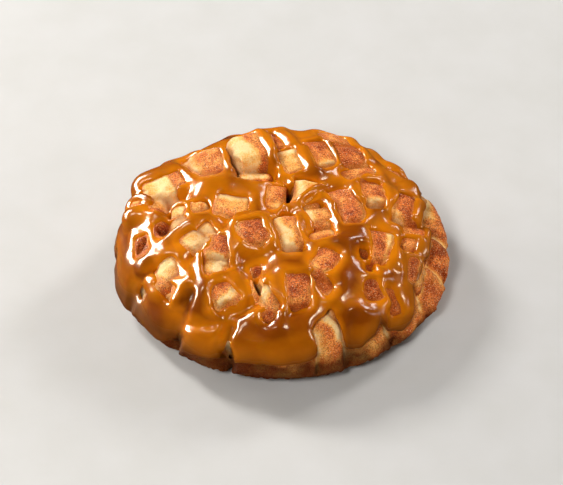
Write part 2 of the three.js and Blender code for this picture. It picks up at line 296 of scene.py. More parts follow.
sauce = {
    "thickness": 0.55,
    "pillow": 2.7,  # how much thicker it is away from bare crust
    "pillowWidth": 4.5,
    "pillowLow": (30, 16),
    "pillowUneven": 0.6,
    "pillowSize": 12,
    "uneven": 0.7,
    "unevenSize": 15.0,
    "ripple": 0.06,
    "rippleSize": 6.0,
    "fill": 4.5,  # how far it levels the creases
    "poolSpread": 0.6,  # share of a pool's radius where it is still strong
    "bead": 1.3,  # how much thicker it hangs over bare crust
    "beadWidth": 4.5,
    "beadUneven": 0.8,
    "beadSize": 11,
    "lowerLip": 0.05,  # how much of that is left below bare crust
    "hemLip": 0.2,
    "hoodSide": (0.4, 0.8, 0),  # the side of the bare crust where it hangs over
    "hoodInward": 0.3,  # how far that side turns toward the middle of the loaf
    "hoodRun": 8,  # distance over which the hanging lip comes in
    "taper": 0.75,  # how far it thins out toward the lower edges
    "taperWidth": 5.0,
    "edge": 3.2,  # rounding of its edges
    "smoothing": 14,
    "edgeWander": 1.5,
    "edgeSize": 6.5,
    "spotCorner": 0.32,  # how round the bare spots' corners are
    "spotReach": 30.0,  # how far from a bare spot the sauce takes notice of it
    "inside": 2.4,  # how far its hidden side lies below the surface
    "hemWander": 2.6,
    "hemSize": 11.0,
    "hemRadius": 100,
    "hemInner": 60,  # no lower edge nearer the middle than this
    "hemDark": 0.95,  # how dark the lower edge is
    "hemThin": 0.3,  # how far it thins out toward its lower hem
    "hemFade": 8.0,
    "thinnest": 1.2,  # on the rim
    "rimHigh": 45,
    "lowHigh": (35, 13),  # darker from here down: painted shade low on the side, partly dark crust through thin sauce
    "furrowShade": (2, 4),  # and painted shade in furrows deeper than this
    "creaseDepthAndShade": (1.8, 4.2),  # thick colour where it has filled a crease: deeper sauce, partly painted shade
    "furrowDeep": 3,  # a furrow this deep has the full thick colour, as painted shade
    "strandHigh": 0.5,  # how far a strand's middle lies above the surface
    "strandBlend": 1.8,
    "cleftGap": 0.5,  # it ends this far from a cleft
    "tinRound": 3.0,
    "lowest": 0.4,  # just off the floor
    "shell": 7,  # half the depth in which it is worked out
    "hiddenInside": -1.2,
    "fewestPoints": 150,
}
# The sauce's lower edge: azimuth in degrees, height.
sauceHem = [
    (0, 41), (12, 41), (26, 36), (42, 27), (56, 20), (66, 30), (77, 25), (88, 14), (100, 25), (112, 30),
    (124, 18), (136, 23), (148, 29), (160, 17), (172, 22), (184, 12), (200, 11), (218, 12), (228, 16),
    (236, 17), (248, 20), (264, 24), (276, 24), (282, 28), (292, 26), (299, 23), (305, 26), (308, 34),
    (311, 22), (316, 18), (322, 20), (326, 28), (331, 36), (345, 38), (360, 40),
]
# Where the sauce has pooled: x, y, radius and how much further it levels the creases there.
pools = [
    (38, -33, 22, 5), (41, -62, 18, 6), (-46, -70, 12, 4), (-40, -50, 10, 4), (-26, 22, 14, 4),
    (23, 31, 12, 4), (60, -4, 10, 3), (-4, -90, 18, 10), (14, -90, 16, 11), (-44, -86, 10, 3),
    (50, -84, 18, 9), (4, -48, 14, 4), (-88, -42, 16, 6), (-92, 6, 16, 4),
]
# Strands of sauce on top of the rest: radius, then x, y along each.
strands = [
    (1.9, [(-4.5, -14), (-3, -8), (1, -2.5), (5, -0.7), (9, -0.3), (12, -2), (15, -9), (18, -22)]),
    (2.6, [(12, 3), (21, 12), (35, 22)]),
    (2.0, [(25, 8), (29, 0), (32, -14), (34, -24)]),
    (1.9, [(-13, 13), (-6, 19), (2, 22), (6, 17)]),
    (2.2, [(-29, -16), (-18, -11), (-7, -13)]),
    (2.6, [(-72, -30), (-67, -26), (-59, -23), (-54, -21)]),
    (2.0, [(-92, -18), (-87, -15), (-81, -16)]),
    (2.8, [(-51, -45), (-49, -57), (-46, -70)]),
    (2.4, [(-46, -68), (-41, -61), (-33, -60), (-26, -68)]),
    (2.4, [(-8, 58), (-5, 46), (-4, 35)]),
    (2.4, [(15, 50), (17, 40), (18, 30)]),
    (2.6, [(-95, 12), (-88, 8), (-80, 3)]),
]

grid = {
    "cell": 1.05,
    "band": 6.0,  # distances are kept up to this far from a surface
    "low": np.array([-112.0, -112.0, -5.0]),
    "high": np.array([112.0, 112.0, 84.0]),
}
gridAxes = [np.arange(grid["low"][k], grid["high"][k], grid["cell"], dtype=np.float32) for k in range(3)]
gridPoints = np.stack(np.meshgrid(*gridAxes, indexing="ij"), axis=-1)


def share(value):
    return np.clip(value, 0, 1)


def above(value, start, width):
    # 0 up to the start, 1 from one width beyond it
    return share((value - start) / width)


def below(value, start, width):
    # 0 down to the start, 1 from one width under it
    return share((start - value) / width)


def bell(distance, width):
    return np.exp(-(distance / width) ** 2)


# Where the pieces sit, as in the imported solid.
def outlineRadius(angle):
    radius = loaf["rimRadius"] - loaf["rimLeftBulge"] * np.cos(angle)
    radius = radius + loaf["rimWave"] * np.cos(loaf["rimWaves"] * angle + loaf["rimWaveStart"])
    for middle, width, depth in rimDents:
        away = (np.degrees(angle) - middle + 180) % 360 - 180
        radius = radius - depth * bell(away, width)
    return radius


def domeHeight(x, y):
    reach = outlineRadius(np.arctan2(y, x))
    out = np.minimum(np.hypot(x, y) / reach, loaf["domeLimit"])
    cap = loaf["crownHeight"] * (1 - out ** loaf["domePower"]) ** loaf["domeRoot"]
    return cap * (1 - loaf["leanLeft"] * x / reach + loaf["leanBack"] * y / reach)


def uneven(piece, trait):
    # from -1 to 1, the same every time for each piece and trait, and the same as in the solid
    wave = math.sin(piece * 12.9898 + trait * 78.233) * 43758.5453
    return 2 * (wave - math.floor(wave)) - 1


def unit(v):
    return v / np.linalg.norm(v)


def turned(across, along, turn):
    c, s = math.cos(math.radians(turn)), math.sin(math.radians(turn))
    return across * c + along * s, along * c - across * s


def seatOnDome(x, y, turn, tilt=(0, 0)):
    # three axes, the third pointing out of the loaf, and the point they stand on
    slopeX = (domeHeight(x + 1, y) - domeHeight(x - 1, y)) / 2
    slopeY = (domeHeight(x, y + 1) - domeHeight(x, y - 1)) / 2
    lean = loaf["outwardShare"]
    outward = unit(unit(np.array([-slopeX, -slopeY, 1.0])) * lean + np.array([0, 0, 1 - lean]))
    outward = unit(outward + np.array([tilt[0], tilt[1], 0]))
    across = unit(np.array([1.0, 0, 0]) - outward * outward[0])
    across, along = turned(across, np.cross(outward, across), turn)
    return np.array([across, along, outward]), np.array([x, y, float(domeHeight(x, y))])


def crownSeats():
    seats = []
    for i, (x, y, turn, width, length, proud) in enumerate(crownPieces):
        tilt = (loaf["unevenTilt"] * uneven(i, 1), loaf["unevenTilt"] * uneven(i, 2))
        axes, top = seatOnDome(x, y, turn, tilt)
        wide = width * (1 + loaf["unevenSize"] * uneven(i, 3))
        long = length * (1 + loaf["unevenSize"] * uneven(i, 4))
        seats.append({"axes": axes, "top": top + axes[2] * proud, "lift": 0.0,
                      "half": (wide / 2, long / 2, dough["pieceDepth"] / 2),
                      "corner": dough["corner"], "puff": dough["puff"]})
    return seats


def rimSeats():
    seats = []
    lean = math.radians(dough["lobeLean"])
    for i, (start, proud, turn, top) in enumerate(rimLobes):
        end = rimLobes[i + 1][0] if i + 1 < len(rimLobes) else rimLobes[0][0] + 360
        middle = math.radians((start + end) / 2)
        reach = float(outlineRadius(middle)) + proud - dough["lobePuff"] * dough["lobeInset"]
        width = math.radians(end - start) * loaf["rimRadius"] * dough["lobeWidening"]
        height = dough["lobeSunk"] + (top - dough["lobeWaist"]) / math.cos(lean)
        level = np.array([math.cos(middle), math.sin(middle), 0])
        outward = level * math.cos(lean) + np.array([0, 0, math.sin(lean)])
        across = np.cross([0, 0, 1], level)
        across, rise = turned(across, np.cross(outward, across), turn)
        seats.append({"axes": np.array([across, rise, outward]),
                      "top": level * reach + np.array([0, 0, dough["lobeWaist"]]),
                      "half": (width / 2, height / 2, dough["lobeDepth"] / 2),
                      "lift": height / 2 - dough["lobeSunk"],
                      "corner": dough["lobeCorner"], "puff": dough["lobePuff"]})
    return seats


crown = crownSeats()
rim = rimSeats()
pieces = crown + rim
spotTraits = ("across", "along", "halfWide", "halfLong", "turn", "browning", "paleWay", "pale", "narrower")
spots = [(seats[row[0]], dict(zip(spotTraits, row[1:])))
         for seats, rows in ((crown, bareCrown), (rim, bareRim)) for row in rows]


# Distances.
def meet(a, b, blend):
    # the nearer of two distances, run together softly
    h = np.clip(0.5 + 0.5 * (b - a) / blend, 0, 1)
    return b * (1 - h) + a * h - blend * h * (1 - h)


def keepBoth(a, b, blend):
    return -meet(-a, -b, blend)


def softNoise(points, size, seed):
    # smooth noise from -1 to 1, on a lattice that repeats
    cells = 32
    lattice = np.random.default_rng(seed).uniform(-1, 1, (cells, cells, cells)).astype(np.float32)
    q = points / size + 10 * cells
    i = np.floor(q).astype(np.int32)
    f = (q - i).astype(np.float32)
    f = f * f * (3 - 2 * f)
    i &= cells - 1
    j = (i + 1) & (cells - 1)
    total = 0
    for a in (0, 1):
        for b in (0, 1):
            for c in (0, 1):
                weight = f[..., 0] if a else 1 - f[..., 0]
                weight = weight * (f[..., 1] if b else 1 - f[..., 1])
                weight = weight * (f[..., 2] if c else 1 - f[..., 2])
                corner = lattice[(j if a else i)[..., 0], (j if b else i)[..., 1], (j if c else i)[..., 2]]
                total = total + weight * corner
    return total


def middleOf(seat):
    return seat["top"] + seat["axes"][1] * seat["lift"] - seat["axes"][2] * seat["half"][2]


def local(points, seat):
    uvw = (points - seat["top"]) @ seat["axes"].T
    uvw[..., 1] -= seat["lift"]
    return uvw


def blockDistance(uvw, seat):
    # a block with round edges whose outer face has swelled
    (a, b, c), corner = seat["half"], seat["corner"]
    qu = np.abs(uvw[..., 0]) - (a - corner)
    qv = np.abs(uvw[..., 1]) - (b - corner)
    qw = np.abs(uvw[..., 2] + c) - (c - corner)
    outside = np.sqrt(np.maximum(qu, 0) ** 2 + np.maximum(qv, 0) ** 2 + np.maximum(qw, 0) ** 2)
    inside = np.minimum(np.maximum(qu, np.maximum(qv, qw)), 0)
    bulge = np.maximum(1 - (uvw[..., 0] / a) ** 2, 0) * np.maximum(1 - (uvw[..., 1] / b) ** 2, 0)
    return outside + inside - corner - seat["puff"] * bulge * share(1 + uvw[..., 2] / corner)


def spotDistance(uvw, spot, wander=(0, 0)):
    # a bare spot's outline in its piece's plane, negative inside
    halfWide, halfLong = spot["halfWide"], spot["halfLong"]
    u = uvw[..., 0] - spot["across"] + wander[0]
    v = uvw[..., 1] - spot["along"] + wander[1]
    u, v = turned(u, v, spot["turn"])
    corner = min(halfWide, halfLong) * sauce["spotCorner"]
    wide = halfWide * (1 + spot["narrower"] * np.clip(v / halfLong, -1, 1))
    qu, qv = np.abs(u) - (wide - corner), np.abs(v) - (halfLong - corner)
    outside = np.sqrt(np.maximum(qu, 0) ** 2 + np.maximum(qv, 0) ** 2)
    return outside + np.minimum(np.maximum(qu, qv), 0) - corner


def tinDistance(points):
    r = np.hypot(points[..., 0], points[..., 1])
    wall = loaf["rimRadius"] + loaf["rimLeftBulge"] + loaf["rimWave"]
    rise = share(points[..., 2] / loaf["flareHeight"])
    bow = loaf["flareBow"] * np.sin(math.pi * rise)
    side = (r - loaf["footRadius"] - (wall - loaf["footRadius"]) * rise - bow) * loaf["flareSlant"]
    return keepBoth(side, -points[..., 2], loaf["footRound"])


def crumbDistance(points):
    x, y, z = points[..., 0], points[..., 1], points[..., 2]
    over = (z - domeHeight(x, y) + loaf["crustDepth"]) * loaf["crumbSlant"]
    beyond = np.hypot(x, y) - outlineRadius(np.arctan2(y, x)) + loaf["crustDepth"]
    return keepBoth(over, beyond, loaf["crumbRound"])


def cleftDistance(points):
    near = np.full(points.shape[:-1], far, np.float32)
    for x, y, turn, halfWide, halfLong, depth in clefts:
        axes, foot = seatOnDome(x, y, turn)
        uvw = (points - foot) @ axes.T
        q = np.linalg.norm(uvw / (halfWide, halfLong, depth), axis=-1)
        near = np.minimum(near, (q - 1) * min(halfWide, halfLong))
    return near


def blockAround(centre, reach):
    # the part of the grid that lies within reach
    slices = []
    for k in range(3):
        start = int(max(0, (centre[k] - reach - grid["low"][k]) / grid["cell"]))
        stop = int(min(len(gridAxes[k]), (centre[k] + reach - grid["low"][k]) / grid["cell"] + 1))
        slices.append(slice(start, max(stop, start)))
    return tuple(slices)


def doughDistance(blend, margin):
    # blend is one number, or one for each grid point; each piece is felt as far out as the margin
    field = crumbDistance(gridPoints).astype(np.float32)
    for seat in pieces:
        block = blockAround(middleOf(seat), float(np.linalg.norm(seat["half"])) + margin)
        d = blockDistance(local(gridPoints[block], seat), seat)
        field[block] = meet(field[block], d, blend if np.isscalar(blend) else blend[block])
    return field


def foldHeight(points):
    # how far the ridges and furrows lift or sink the surface
    height = np.zeros(points.shape[:-1], np.float32)
    for radius, rise, path in folds:
        path = np.array(path, float)
        reach = 2.5 * radius  # beyond this it has died away
        close = ((points > path.min(axis=0) - reach) & (points < path.max(axis=0) + reach)).all(axis=-1)
        inside = np.nonzero(close)
        here = points[inside]
        near = np.full(len(here), far)
        for a, b in zip(path, path[1:] if len(path) > 1 else path):
            step = b - a
            t = np.clip((here - a) @ step / max(step @ step, 1e-6), 0, 1)
            near = np.minimum(near, np.linalg.norm(here - a - t[:, None] * step, axis=-1))
        height[inside] += rise * bell(near, radius)
    return height


def nearestPieces(points):
    # distance to the nearest and the second nearest piece, and which is nearest
    near = np.full(len(points), far)
    second = np.full(len(points), far)
    which = np.full(len(points), -1)
    for k, seat in enumerate(pieces):
        reach = float(np.linalg.norm(seat["half"])) + 4
        inside = np.nonzero(np.linalg.norm(points - middleOf(seat), axis=1) < reach)[0]
        d = blockDistance(local(points[inside], seat), seat)
        closer = d < near[inside]
        second[inside] = np.where(closer, near[inside], np.minimum(second[inside], d))
        near[inside] = np.where(closer, d, near[inside])
        which[inside] = np.where(closer, k, which[inside])
    return near, second, which


def hemAbove(points):
    # how far above the sauce's lower edge
    azimuth = np.degrees(np.arctan2(points[:, 1], points[:, 0])) % 360
    hem = np.interp(azimuth, [a for a, _ in sauceHem], [h for _, h in sauceHem])
    turn = np.radians(azimuth)
    ring = sauce["hemRadius"] * np.stack([np.cos(turn), np.sin(turn), turn * 0], axis=-1)
    height = points[:, 2] - hem - sauce["hemWander"] * softNoise(ring, sauce["hemSize"], seeds["hem"])
    return np.where(np.hypot(points[:, 0], points[:, 1]) > sauce["hemInner"], height, sauce["spotReach"])


def hemNear(points, width):
    # 1 at the sauce's lower edge and under it, fading out above
    return bell(np.maximum(hemAbove(points), 0), width)


def bareEdges(points):
    # how far outside the bare crust each point lies, how thick the sauce's lip is there and how far it
    # thins out
    wander = [sauce["edgeWander"] * softNoise(points, sauce["edgeSize"], seed) for seed in seeds["edge"]]
    bare = np.full(len(points), sauce["spotReach"])
    lip = np.zeros(len(points))
    thinner = np.zeros(len(points))
    heavier = 1 + sauce["beadUneven"] * softNoise(points, sauce["beadSize"], seeds["bead"])
    for seat, spot in spots:
        centre = seat["top"] + seat["axes"][0] * spot["across"]
        centre = centre + seat["axes"][1] * (seat["lift"] + spot["along"])
        near = np.nonzero(np.linalg.norm(points - centre, axis=1) < sauce["spotReach"])[0]
        uvw = local(points[near], seat)
        edge = spotDistance(uvw, spot, [w[near] for w in wander])
        edge = np.maximum(edge, -uvw[:, 2] - dough["faceDepth"])
        outward = unit(np.array([centre[0], centre[1], 0]))
        uphill = unit(np.array(sauce["hoodSide"]) - sauce["hoodInward"] * outward)
        up = (points[near] - centre) @ uphill / sauce["hoodRun"]
        here = bell(np.maximum(edge, 0), sauce["beadWidth"])
        here = here * (sauce["lowerLip"] + (1 - sauce["lowerLip"]) * share(up)) * heavier[near]
        lip[near] = np.maximum(lip[near], here)
        low = bell(np.maximum(edge, 0), sauce["taperWidth"]) * share(-up)
        thinner[near] = np.maximum(thinner[near], low)
        bare[near] = np.minimum(bare[near], edge)
    lip = np.maximum(lip, sauce["hemLip"] * hemNear(points, sauce["beadWidth"]))
    return np.minimum(bare, hemAbove(points)), lip, thinner * (1 - lip)


# Meshes.
def meshFromField(field):
    fieldGrid = vdb.FloatGrid(grid["band"])
    fieldGrid.copyFromArray(np.clip(field, -grid["band"], grid["band"]).astype(np.float32))
    points, quads = fieldGrid.convertToQuads(isovalue=0.0)
    return points.astype(np.float64) * grid["cell"] + grid["low"], quads[:, ::-1]


def dropCrumbs(points, quads, fewest):
    # leaves out bits that hang together with fewer than so many points
    label = np.arange(len(points))
    edges = np.concatenate([quads[:, [0, 1]], quads[:, [1, 2]], quads[:, [2, 3]], quads[:, [3, 0]]])
    while True:
        before = label.copy()
        least = np.minimum(label[edges[:, 0]], label[edges[:, 1]])
        np.minimum.at(label, edges[:, 0], least)
        np.minimum.at(label, edges[:, 1], least)
        label = label[label]  # twice, to spread faster
        label = label[label]
        if np.array_equal(before, label):
            break
    good = np.bincount(label, minlength=len(points))[label] >= fewest
    index = np.cumsum(good) - 1
    return points[good], index[quads[good[quads[:, 0]]]]


def warped(points):
    # the same gentle unevenness for everything on the loaf; the foot stays flat
    free = share(points[:, 2] / dough["warpFree"])
    shift = np.stack([softNoise(points, dough["warpSize"], seed) for seed in seeds["warp"]], axis=-1)
    return points + shift * dough["warp"] * free[:, None]


def pointNormals(points, quads):
    cross = np.cross(points[quads[:, 2]] - points[quads[:, 0]], points[quads[:, 3]] - points[quads[:, 1]])
    normals = np.zeros_like(points)
    for k in range(4):
        np.add.at(normals, quads[:, k], cross)
    return normals / (np.linalg.norm(normals, axis=1)[:, None] + 1e-9)


def makeMesh(name, points, faces, values, smooth=True):
    corners = faces.shape[1]
    mesh = bpy.data.meshes.new(name)
    mesh.vertices.add(len(points))
    mesh.vertices.foreach_set("co", (points * mm).astype(np.float32).ravel())
    mesh.loops.add(len(faces) * corners)
    mesh.polygons.add(len(faces))
    mesh.loops.foreach_set("vertex_index", faces.astype(np.int32).ravel())
    mesh.polygons.foreach_set("loop_start", np.arange(0, len(faces) * corners, corners, dtype=np.int32))
    mesh.update(calc_edges=True)
    mesh.polygons.foreach_set("use_smooth", np.full(len(faces), smooth))
    for key, value in values.items():
        mesh.attributes.new(key, "FLOAT", "POINT").data.foreach_set("value", value.astype(np.float32))
    mesh.validate()
    piece = bpy.data.objects.new(name, mesh)
    bpy.context.scene.collection.objects.link(piece)
    return piece


def thinHidden(piece, hidden, smoothing=0):
    # fewer faces where nothing of them shows
    triangles = 2 * len(piece.data.polygons)
    group = piece.vertex_groups.new(name="hidden")
    group.add(np.nonzero(hidden)[0].tolist(), 1.0, "REPLACE")
    if smoothing:
        smooth = piece.modifiers.new("smooth", "SMOOTH")
        smooth.factor = 0.5
        smooth.iterations = smoothing
    thin = piece.modifiers.new("thin", "DECIMATE")
    thin.ratio = min(1, mostTriangles / triangles)
    thin.vertex_group = "hidden"
    depsgraph = bpy.context.evaluated_depsgraph_get()
    full = piece.data
    piece.data = bpy.data.meshes.new_from_object(piece.evaluated_get(depsgraph), depsgraph=depsgraph)
    piece.modifiers.clear()
    piece.vertex_groups.clear()
    bpy.data.meshes.remove(full)
    piece.data.name = piece.name


# Dough.
def browningOf(points):
    # how dark each point is baked, and how far it lies on a pale, torn face
    sway = softNoise(points, dough["browningSize"], seeds["browning"])
    browning = dough["browning"] + dough["browningSway"] * sway
    torn = np.zeros(len(points))
    ragged = dough["tear"] * softNoise(points, dough["tearSize"], seeds["tear"])
    for seat, spot in spots:
        centre = seat["top"] + seat["axes"][1] * seat["lift"]
        mine = np.nonzero(np.linalg.norm(points - centre, axis=1) < dough["faceReach"])[0]
        uvw = local(points[mine], seat)
        c, s = math.cos(math.radians(spot["paleWay"])), math.sin(math.radians(spot["paleWay"]))
        toward = (uvw[:, 0] - spot["across"]) * c / spot["halfWide"]
        toward = toward + (uvw[:, 1] - spot["along"]) * s / spot["halfLong"]
        paler = 0
        if spot["pale"]:
            paler = above(toward + ragged[mine], 1 - 2 * spot["pale"], dough["tearFade"])
        hold = share(0.5 - spotDistance(uvw, spot) / dough["spotFade"])
        hold = hold * above(uvw[:, 2], -dough["faceDepth"], dough["faceFade"])
        tone = spot["browning"] * (1 - dough["tornPaler"] * paler)
        browning[mine] = browning[mine] * (1 - hold) + tone * hold
        torn[mine] = np.maximum(torn[mine], hold * paler)
    return browning, torn


def footBandAndCleftShade(points, torn):
    # the dark-baked band round the foot, partly painted shade where the side faces down, and painted shade
    # inside the clefts
    azimuth = np.arctan2(points[:, 1], points[:, 0])
    high = dough["footHigh"] + dough["footSway"] * np.cos(azimuth - math.radians(dough["footDarkest"]))
    high = high + dough["footRagged"] * softNoise(points, dough["footRaggedSize"], seeds["foot"])
    foot = below(points[:, 2], high, dough["footFade"])
    sunk = above(domeHeight(points[:, 0], points[:, 1]) - points[:, 2], *dough["cleftDeep"])
    foot = np.maximum(foot, sunk * share(1.5 - cleftDistance(points) / dough["cleftShade"]))
    return foot * (1 - dough["footTorn"] * torn)


def crustRelief(points, gap, torn, holes):
    # how far the crust stands out or in; the foot stays flat
    rough = dough["lump"] * softNoise(points, dough["lumpSize"], seeds["lump"])
    rough = rough + dough["pit"] * softNoise(points, dough["pitSize"], seeds["pit"])
    rough = rough + dough["torn"] * torn * softNoise(points, dough["tornSize"], seeds["torn"])
    rough = rough - dough["hole"] * holes
    free = share(points[:, 2] / dough["smoothFoot"])
    return rough * (free * (dough["creaseRough"] + (1 - dough["creaseRough"]) * gap))


def makeDough(field):
    points, quads = dropCrumbs(*meshFromField(field), dough["fewestPoints"])
    height = points[:, 2]
    near, second, which = nearestPieces(points)
    gap = share((second - near) / dough["creaseWidth"])  # 0 in a crease, 1 in the open
    browning, torn = browningOf(points)
    seam = (which >= len(crown)) * share(dough["seamStart"] - gap * dough["seamFall"])
    seam = seam * above(height, *dough["seamLow"])
    browning = browning * (1 - dough["seamPaler"] * seam)
    browning = browning + dough["sideDarker"] * below(height, *dough["sideHigh"]) * (1 - torn)
    foot = footBandAndCleftShade(points, torn)
    bare, _, _ = bareEdges(points)
    hem = hemAbove(points)
    underHem = share(1 + hem / dough["syrupRun"]) * (bare < 0) * (hem < 0)
    syrup = np.maximum(share(1 - np.abs(bare) / dough["syrupWidth"]), dough["syrupUnder"] * underHem)
    holes = above(softNoise(points, dough["holeSize"], seeds["hole"]), *dough["holeShare"])
    holes = holes * share(-bare / dough["holeInside"])
    holes = holes * below(height, *dough["holeHigh"]) * above(height, *dough["holeLow"])
    normals = pointNormals(points, quads)
    shaped = warped(points) + normals * crustRelief(points, gap, torn, holes)[:, None]
    # painted shade: 0 in the creases between pieces and in the blisters, 1 on open faces and seams
    unshadedFace = np.maximum(gap, seam) * (1 - dough["holeShade"] * holes)
    piece = makeMesh("loaf_dough", shaped, quads, {
        "browning": browning, "unshaded": unshadedFace, "foot": foot, "wet": syrup})
    sugary = (bare < -dough["sugarInside"]) & (browning > dough["sugarBrowning"])
    sugary = sugary & (foot < dough["sugarFoot"]) & (gap > dough["sugarOpen"])
    sugared = (shaped[sugary], normals[sugary], browning[sugary])
    thinHidden(piece, bare > dough["hiddenUnder"])
    print("dough made:", len(piece.data.polygons), "faces")
    return piece, sugared


# Sauce.
def planDistance(x, y, path):
    near = np.full(x.shape, far)
    for (x0, y0), (x1, y1) in zip(path[:-1], path[1:]):
        dx, dy = x1 - x0, y1 - y0
        t = np.clip(((x - x0) * dx + (y - y0) * dy) / (dx * dx + dy * dy), 0, 1)
        near = np.minimum(near, np.hypot(x - x0 - t * dx, y - y0 - t * dy))
    return near


def poolBlend():
    # how softly the sauce runs over the creases, for each column of the grid
    x, y = np.meshgrid(gridAxes[0], gridAxes[1], indexing="ij")
    extra = np.zeros(x.shape, np.float32)
    for px, py, radius, more in pools:
        spread = 2 * (radius * sauce["poolSpread"]) ** 2
        extra = np.maximum(extra, more * np.exp(-((x - px) ** 2 + (y - py) ** 2) / spread))
    blend = sauce["fill"] + extra
    return np.repeat(blend[:, :, None], len(gridAxes[2]), axis=2)


def sauceThickness(points, bare, lip, thinner):
    height = points[:, 2]
    away = 1 - bell(np.clip(bare, 0, sauce["spotReach"]), sauce["pillowWidth"])
    away = away * above(height, *sauce["pillowLow"])
    thickness = sauce["thickness"] * (1 - sauce["taper"] * thinner) + sauce["bead"] * lip
    swollen = 1 + sauce["pillowUneven"] * softNoise(points, sauce["pillowSize"], seeds["pillow"])
    thickness = thickness + sauce["pillow"] * away * swollen
    thickness = thickness * (1 - sauce["hemThin"] * hemNear(points, sauce["hemFade"]))
    thickness = np.where(height < sauce["rimHigh"], np.maximum(thickness, sauce["thinnest"]), thickness)
    thickness = thickness + sauce["uneven"] * softNoise(points, sauce["unevenSize"], seeds["uneven"])
    return thickness + sauce["ripple"] * softNoise(points, sauce["rippleSize"], seeds["ripple"])


def makeSauce(filled):
    shell = np.abs(filled) < sauce["shell"]
    points = gridPoints[shell].astype(np.float64)
    level = filled[shell].astype(np.float64)
    bare, lip, thinner = bareEdges(points)
    bare = np.minimum(bare, cleftDistance(points) - sauce["cleftGap"])
    thickness = sauceThickness(points, bare, lip, thinner)
    field = keepBoth(level - thickness, -bare, sauce["edge"])
    for radius, path in strands:
        near = np.nonzero(planDistance(points[:, 0], points[:, 1], path) < radius + 4)[0]
        plan = planDistance(points[near, 0], points[near, 1], path)
        tube = np.sqrt(plan ** 2 + (level[near] - sauce["strandHigh"]) ** 2) - radius
        field[near] = meet(field[near], tube, sauce["strandBlend"])
    field = np.maximum(field, -(level + sauce["inside"]))
    field = np.maximum(field, sauce["lowest"] - points[:, 2])
    whole = np.full(filled.shape, grid["band"], np.float32)
    whole[shell] = field
    points, quads = dropCrumbs(*meshFromField(whole), sauce["fewestPoints"])
    near, _, _ = nearestPieces(points)
    sunk = np.minimum(foldHeight(points), 0)
    # deeper sauce is darker, partly painted shade in the creases it fills; furrows get the thick colour as
    # painted shade
    start, width = sauce["creaseDepthAndShade"]
    depth = share((near - start) / width - sunk / sauce["furrowDeep"])
    # darker low down, painted shade partly with dark crust through thin sauce; along the lower edge;
    # painted shade in furrows
    dark = [below(points[:, 2], *sauce["lowHigh"]), sauce["hemDark"] * hemNear(points, sauce["hemFade"]),
            above(-sunk, *sauce["furrowShade"])]
    piece = makeMesh("caramel_sauce", warped(points), quads, {"depth": depth, "low": np.max(dark, axis=0)})
    thinHidden(piece, near < sauce["hiddenInside"], sauce["smoothing"])
    print("sauce made:", len(piece.data.polygons), "faces")
    return piece


# Cinnamon sugar: loose grains on the bare crust.
grains = {
    "sugar_crystals": {"count": 4200, "size": (0.18, 0.36), "seed": 81, "browning": (0.3, 2.0)},
    "cinnamon_specks": {"count": 6000, "size": (0.18, 0.42), "seed": 82, "browning": (0.45, 2.0)},
}
grainShape = {
    "scatter": 0.6,  # how far a grain may lie from its point of the crust
    "stretch": (0.7, 1.3),
    "stand": 0.35,  # share of its size by which its middle stands off the crust
}


def makeGrains(name, sugared):
    look = grains[name]
    count = look["count"]
    places, normals, browning = sugared
    rng = np.random.default_rng(look["seed"])
    fit = np.nonzero((browning > look["browning"][0]) & (browning < look["browning"][1]))[0]
    chosen = rng.choice(fit, count)
    # each grain is an uneven octahedron
    corner = np.array([[1, 0, 0], [-1, 0, 0], [0, 1, 0], [0, -1, 0], [0, 0, 1], [0, 0, -1]], float)
    side = np.array([[0, 2, 4], [2, 1, 4], [1, 3, 4], [3, 0, 4],
                     [2, 0, 5], [1, 2, 5], [3, 1, 5], [0, 3, 5]])
    size = rng.uniform(*look["size"], count)
    scatter = rng.uniform(-grainShape["scatter"], grainShape["scatter"], (count, 3))
    stretch = rng.uniform(*grainShape["stretch"], (count, 6, 3))
    swing = rng.uniform(0, 2 * math.pi, count)
    c, s = np.cos(swing)[:, None], np.sin(swing)[:, None]
    shape = corner[None] * stretch * size[:, None, None]
    shape = np.stack([shape[..., 0] * c - shape[..., 1] * s, shape[..., 0] * s + shape[..., 1] * c,
                      shape[..., 2]], axis=-1)
    n = normals[chosen]
    scatter = scatter - n * np.sum(scatter * n, axis=1)[:, None]
    centre = places[chosen] + scatter + n * (size * grainShape["stand"])[:, None]
    points = (centre[:, None, :] + shape).reshape(-1, 3)
    faces = (side[None] + len(corner) * np.arange(count)[:, None, None]).reshape(-1, 3)
    piece = makeMesh(name, points, faces, {}, smooth=False)
    print(name, "made:", len(faces), "faces")
    return piece


# Materials.
def link(tree, a, b):
    tree.links.new(a, b)


def node(tree, kind, **sets):
    n = tree.nodes.new(kind)
    for key, value in sets.items():
        setattr(n, key, value)
    return n


def makeGrainGroup():
    # a mask of soft or hard specks of any size
    group = bpy.data.node_groups.new("grain", "ShaderNodeTree")
    face = group.interface
    for name, default in (("Scale", 400.0), ("Low", 0.4), ("High", 0.6)):
        face.new_socket(name, in_out="INPUT", socket_type="NodeSocketFloat").default_value = default
    face.new_socket("Mask", in_out="OUTPUT", socket_type="NodeSocketFloat")
    inside = node(group, "NodeGroupInput")
    out = node(group, "NodeGroupOutput")
    where = node(group, "ShaderNodeTexCoord")
    noise = node(group, "ShaderNodeTexNoise")
    noise.inputs["Detail"].default_value = 3
    ramp = node(group, "ShaderNodeMapRange")
    link(group, where.outputs["Object"], noise.inputs["Vector"])
    link(group, inside.outputs["Scale"], noise.inputs["Scale"])
    link(group, noise.outputs["Fac"], ramp.inputs["Value"])
    link(group, inside.outputs["Low"], ramp.inputs["From Min"])
    link(group, inside.outputs["High"], ramp.inputs["From Max"])
    link(group, ramp.outputs["Result"], out.inputs["Mask"])
    return group


grain = makeGrainGroup()


